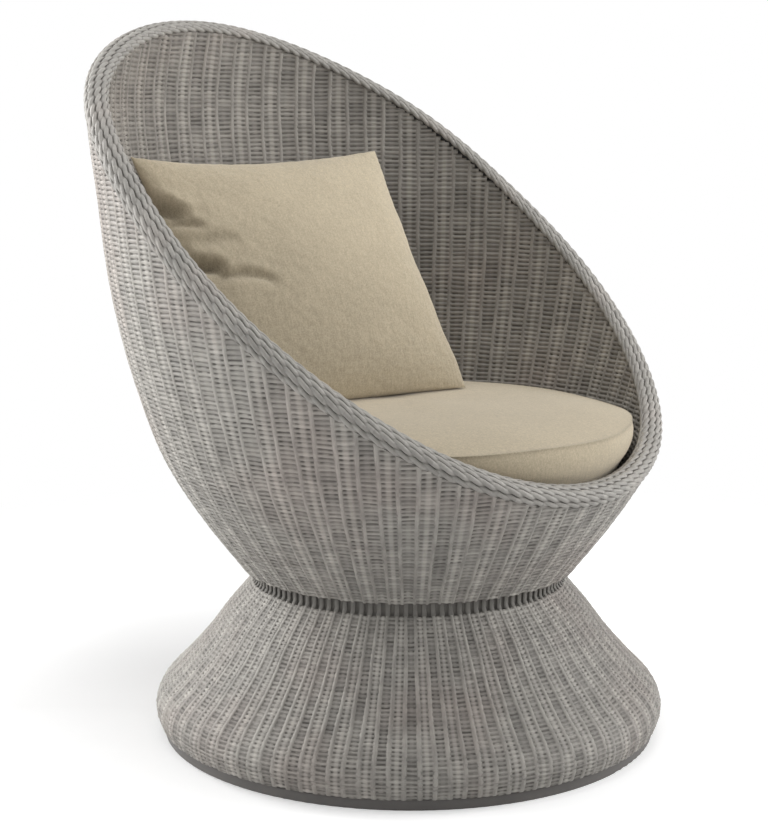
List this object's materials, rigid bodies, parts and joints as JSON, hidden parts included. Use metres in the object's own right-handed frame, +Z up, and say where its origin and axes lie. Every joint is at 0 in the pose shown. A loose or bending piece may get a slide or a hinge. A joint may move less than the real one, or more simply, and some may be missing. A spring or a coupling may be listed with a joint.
{
  "type": "lounge chair",
  "caption": "Woven pod lounge chair: slanted round bowl with braided rim, turning on a flared woven base, with a round seat cushion and a loose square back cushion.",
  "frame": {"origin": "on the floor under the middle of the king pin, the axis about which the bowl turns", "axes": "+Z up, -Y to the chair's front where the rim is lowest, +X to the side on a sitter's left"},
  "size_m": [0.8472, 0.8043, 1.0117],
  "materials": {
    "weave": "woven synthetic strand, weathered grey",
    "inner_weave": "woven synthetic strand, weathered grey, inside",
    "border": "twisted synthetic strand, weathered grey",
    "frame": "powder coated tube and rod, satin dark grey",
    "foot": "powder coated, satin grey",
    "bearing": "zinc plated steel",
    "cage": "pressed brass",
    "cover": "plain woven outdoor fabric, beige",
    "filling": "foam and fibre filling, white"
  },
  "bodies": {
    "base": {"foot_hoop": "foot", "base_bulge_hoop": "frame", "base_mid_hoop": "frame", "base_top_hoop": "frame", "base_skirt": "weave", "base_rib_1": "frame", "base_rib_2": "frame", "base_rib_3": "frame", "base_rib_4": "frame", "base_rib_5": "frame", "base_rib_6": "frame", "base_rib_7": "frame", "base_rib_8": "frame", "base_spider": "frame", "swivel_lower_plate": "bearing", "swivel_balls": "bearing", "swivel_ball_cage": "cage", "king_pin": "bearing", "king_washer": "bearing", "king_nut": "bearing", "base_bolts": "bearing", "base_nuts": "bearing"},
    "bowl": {"swivel_upper_plate": "bearing", "bowl_spider": "frame", "bowl_bolts": "bearing", "bowl_nuts": "bearing", "bowl_neck_hoop": "frame", "bowl_low_hoop": "frame", "bowl_waist_hoop": "frame", "bowl_mid_hoop": "frame", "bowl_high_hoop": "frame", "rim_tube": "frame", "bowl_rib_1": "frame", "bowl_rib_2": "frame", "bowl_rib_3": "frame", "bowl_rib_4": "frame", "bowl_rib_5": "frame", "bowl_rib_6": "frame", "bowl_rib_7": "frame", "bowl_rib_8": "frame", "bowl_rib_9": "frame", "bowl_rib_10": "frame", "outer_weave": "weave", "inner_weave": "inner_weave", "rim_border": "border", "seat_hoop": "frame", "seat_deck": "inner_weave", "deck_bar_1": "frame", "deck_bar_2": "frame", "deck_bar_3": "frame", "deck_bar_4": "frame"},
    "seat_cushion": {"seat_cushion_cover": "cover", "seat_cushion_foam": "filling"},
    "back_cushion": {"back_cushion_front_panel": "cover", "back_cushion_back_panel": "cover", "back_cushion_filling": "filling"}
  },
  "joints": [
    {"name": "bowl_swivel", "type": "hinge", "parent": "base", "child": "bowl", "pos_m": [0, 0, 0.23], "axis": [0, 0, 1], "continuous": true},
    {"name": "seat_cushion_lift", "type": "slide", "parent": "bowl", "child": "seat_cushion", "axis": [0, 0, 1], "range_m": [0, 0.3]},
    {"name": "back_cushion_lift", "type": "slide", "parent": "seat_cushion", "child": "back_cushion", "axis": [-0.2581, -0.7792, 0.5712], "range_m": [0, 0.3]}
  ]
}
